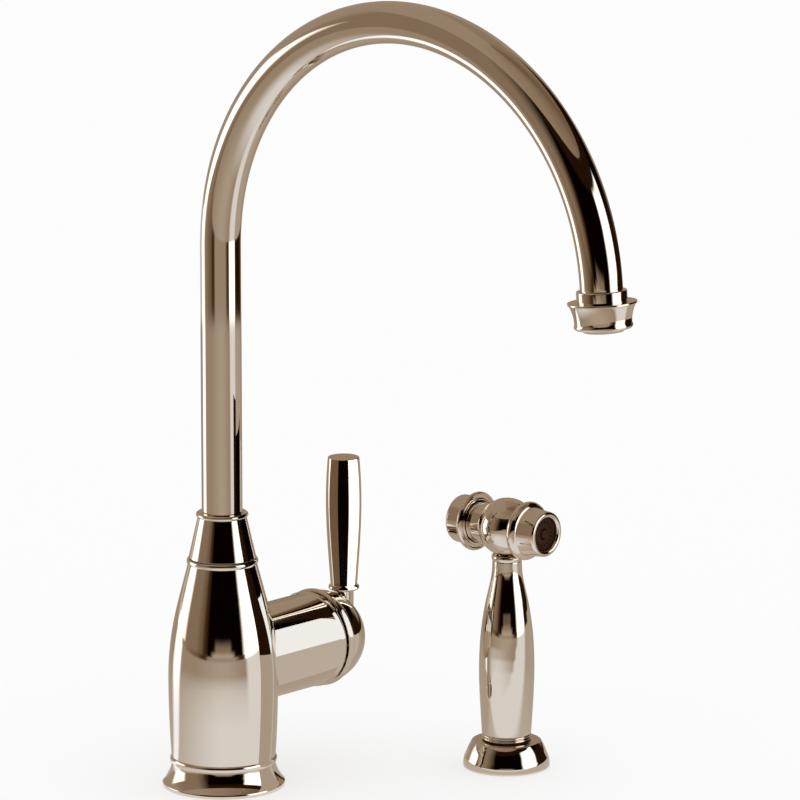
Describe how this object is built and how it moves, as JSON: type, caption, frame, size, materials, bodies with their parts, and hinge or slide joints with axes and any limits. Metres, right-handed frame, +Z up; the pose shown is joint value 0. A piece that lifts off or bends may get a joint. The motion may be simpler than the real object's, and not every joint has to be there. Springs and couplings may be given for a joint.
{
  "type": "kitchen faucet with side spray",
  "caption": "Single-lever deck faucet with a tall swan-neck swivel spout, an aerator, a side lever, and a separate pull-out side spray in its own deck holder.",
  "frame": {"origin": "on the faucet column's axis, at the worktop's surface", "axes": "+Z up, the spout points along -Y, the lever's barrel points along +X"},
  "size_m": [0.1701, 0.2862, 0.4718],
  "materials": {
    "polished_nickel": "warm polished nickel, mirror bright",
    "turned_brass": "turned, unplated",
    "steel": "plain stainless",
    "black_rubber": "matte black rubber",
    "white_plastic": "moulded acetal",
    "ceramic": "lapped ceramic",
    "dark_plastic": "moulded dark brown plastic"
  },
  "bodies": {
    "faucet": {"base_flange": "polished_nickel", "base_seal": "black_rubber", "body_casting": "polished_nickel", "bonnet_nut": "turned_brass", "cartridge_base": "white_plastic", "cartridge_housing": "white_plastic", "cartridge_seals": "black_rubber", "diverter_body": "white_plastic", "fixed_disc": "ceramic", "fixing_nut": "turned_brass", "fixing_rubber_washer": "black_rubber", "fixing_steel_washer": "steel", "glide_ring": "white_plastic", "mounting_shank": "turned_brass", "spout_set_screw": "steel", "spray_guide_bush": "dark_plastic", "spray_holder": "polished_nickel", "spray_holder_nut": "turned_brass", "spray_holder_seal": "black_rubber", "spray_holder_washer": "black_rubber", "spray_outlet_nipple": "turned_brass"},
    "spout": {"swivel_spigot": "turned_brass", "spout_o_rings": "black_rubber", "neck_cone": "polished_nickel", "neck_collar": "polished_nickel", "spout_tube": "polished_nickel", "spout_ferrule": "polished_nickel", "aerator_housing": "polished_nickel", "aerator_washer": "black_rubber", "aerator_insert": "white_plastic"},
    "cartridge_rotor": {"cartridge_rotor": "white_plastic", "moving_disc": "ceramic", "pivot_pin": "steel"},
    "lever": {"cartridge_spindle": "turned_brass", "lever_cap": "polished_nickel", "lever_grub_screw": "steel", "lever_stem": "polished_nickel", "lever_handle": "polished_nickel"},
    "diverter": {"diverter_piston": "white_plastic"},
    "spray": {"spray_hose_tail": "turned_brass", "spray_foot_ring": "polished_nickel", "spray_handle": "polished_nickel", "spray_neck_ring": "polished_nickel", "spray_neck_o_ring": "black_rubber", "spray_head": "polished_nickel", "spray_nozzle_ring": "polished_nickel", "spray_nozzle": "polished_nickel", "spray_face": "dark_plastic", "spray_face_seal": "black_rubber"},
    "spray_button": {"spray_button": "polished_nickel", "spray_valve_stem": "steel", "spray_valve_disc": "black_rubber", "spray_return_spring": "steel"}
  },
  "joints": [
    {"name": "spout_swivel", "type": "hinge", "parent": "faucet", "child": "spout", "pos_m": [0, 0, 0.118], "axis": [0, 0, 1], "continuous": true},
    {"name": "lever_turn", "type": "hinge", "parent": "faucet", "child": "cartridge_rotor", "pos_m": [0.05, 0, 0.0616], "axis": [1, 0, 0], "range_deg": [-45, 30]},
    {"name": "lever_tilt", "type": "hinge", "parent": "cartridge_rotor", "child": "lever", "pos_m": [0.05, 0, 0.0616], "axis": [0, 1, 0], "range_deg": [0, 22]},
    {"name": "diverter_slide", "type": "slide", "parent": "faucet", "child": "diverter", "axis": [0, 0, 1], "range_m": [0, 0.003]},
    {"name": "spray_pull_out", "type": "slide", "parent": "faucet", "child": "spray", "axis": [0, 0, 1], "range_m": [0, 0.06]},
    {"name": "spray_button_press", "type": "slide", "parent": "spray", "child": "spray_button", "axis": [0, -1, 0], "range_m": [0, 0.003], "stiffness_N_per_m": 700, "springref_m": -0.002}
  ]
}
